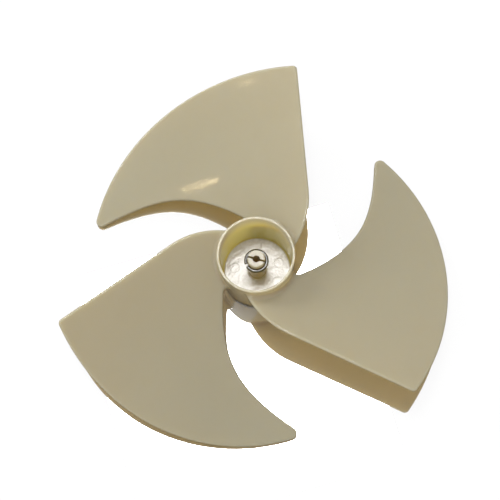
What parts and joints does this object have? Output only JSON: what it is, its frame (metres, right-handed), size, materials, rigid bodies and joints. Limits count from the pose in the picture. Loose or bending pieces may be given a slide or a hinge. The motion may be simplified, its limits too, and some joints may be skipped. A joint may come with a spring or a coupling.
{
  "type": "condenser fan blade",
  "caption": "Moulded plastic axial fan rotor with swept sickle blades, a cup-shaped hub and a split boss that a steel wire ring clamps on a motor shaft.",
  "frame": {"origin": "on the shaft axis, at the back face of the hub and boss", "axes": "+Z along the shaft axis towards the open mouth of the hub cup; one blade's straight edge runs along +Y"},
  "size_m": [0.168, 0.167, 0.032],
  "materials": {
    "cream_plastic": "satin moulded",
    "spring_steel": "bright drawn wire"
  },
  "bodies": {
    "root": {"fan_rotor": "cream_plastic", "spring_ring": "spring_steel"}
  },
  "joints": []
}
